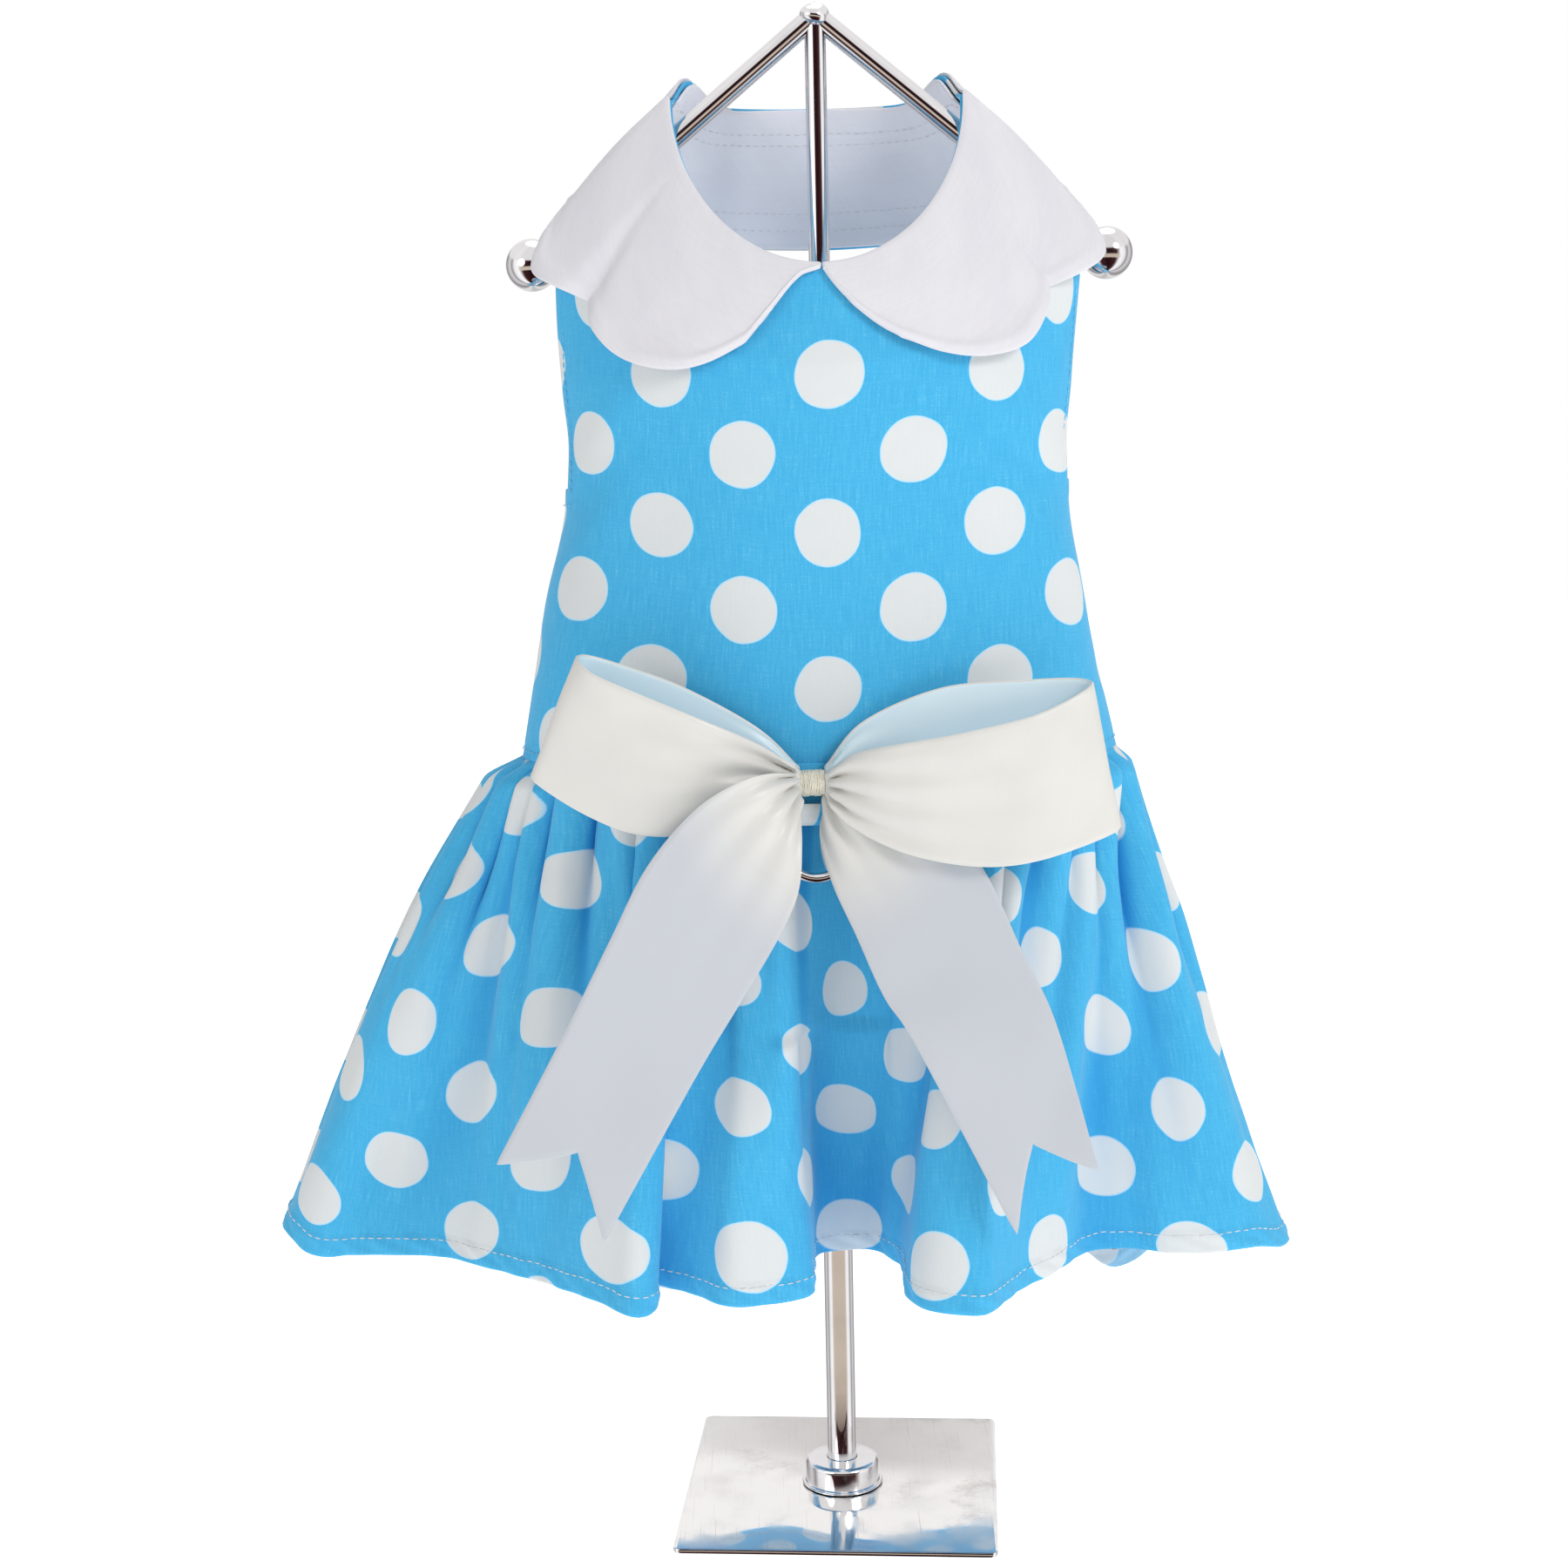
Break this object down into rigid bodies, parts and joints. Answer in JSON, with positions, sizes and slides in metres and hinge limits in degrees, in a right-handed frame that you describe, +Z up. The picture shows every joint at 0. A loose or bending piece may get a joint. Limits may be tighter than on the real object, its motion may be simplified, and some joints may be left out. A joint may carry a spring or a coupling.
{
  "type": "dog dress on display stand",
  "caption": "Small dog's sleeveless polka-dot dress with scalloped collar, ribbon bow, leash ring and gathered skirt, hung on a chrome stand with a square base.",
  "frame": {"origin": "centre of the underside of the stand's base plate, on the pole's axis", "axes": "+Z up along the pole, +X to the right as the bow is looked at, and the bow side of the dress faces -Y"},
  "size_m": [0.3311, 0.1543, 0.4742],
  "materials": {
    "chrome_steel": "polished",
    "dress_cotton": "matt plain-weave cotton with white dots",
    "white_cotton": "matt plain-weave cotton",
    "satin_ribbon": "satin"
  },
  "bodies": {
    "root": {"base_plate": "chrome_steel", "base_flange": "chrome_steel", "lower_tube": "chrome_steel", "hanger": "chrome_steel", "ball_tip_left": "chrome_steel", "ball_tip_right": "chrome_steel", "d_ring": "chrome_steel", "bodice": "dress_cotton", "skirt": "dress_cotton", "neck_strap": "dress_cotton", "neck_tab": "dress_cotton", "belly_tab": "dress_cotton", "ring_tab": "dress_cotton", "neck_lining": "white_cotton", "collar_left": "white_cotton", "collar_right": "white_cotton", "bow_loop_left": "satin_ribbon", "bow_loop_right": "satin_ribbon", "bow_tail_left": "satin_ribbon", "bow_tail_right": "satin_ribbon", "bow_knot": "satin_ribbon"}
  },
  "joints": []
}
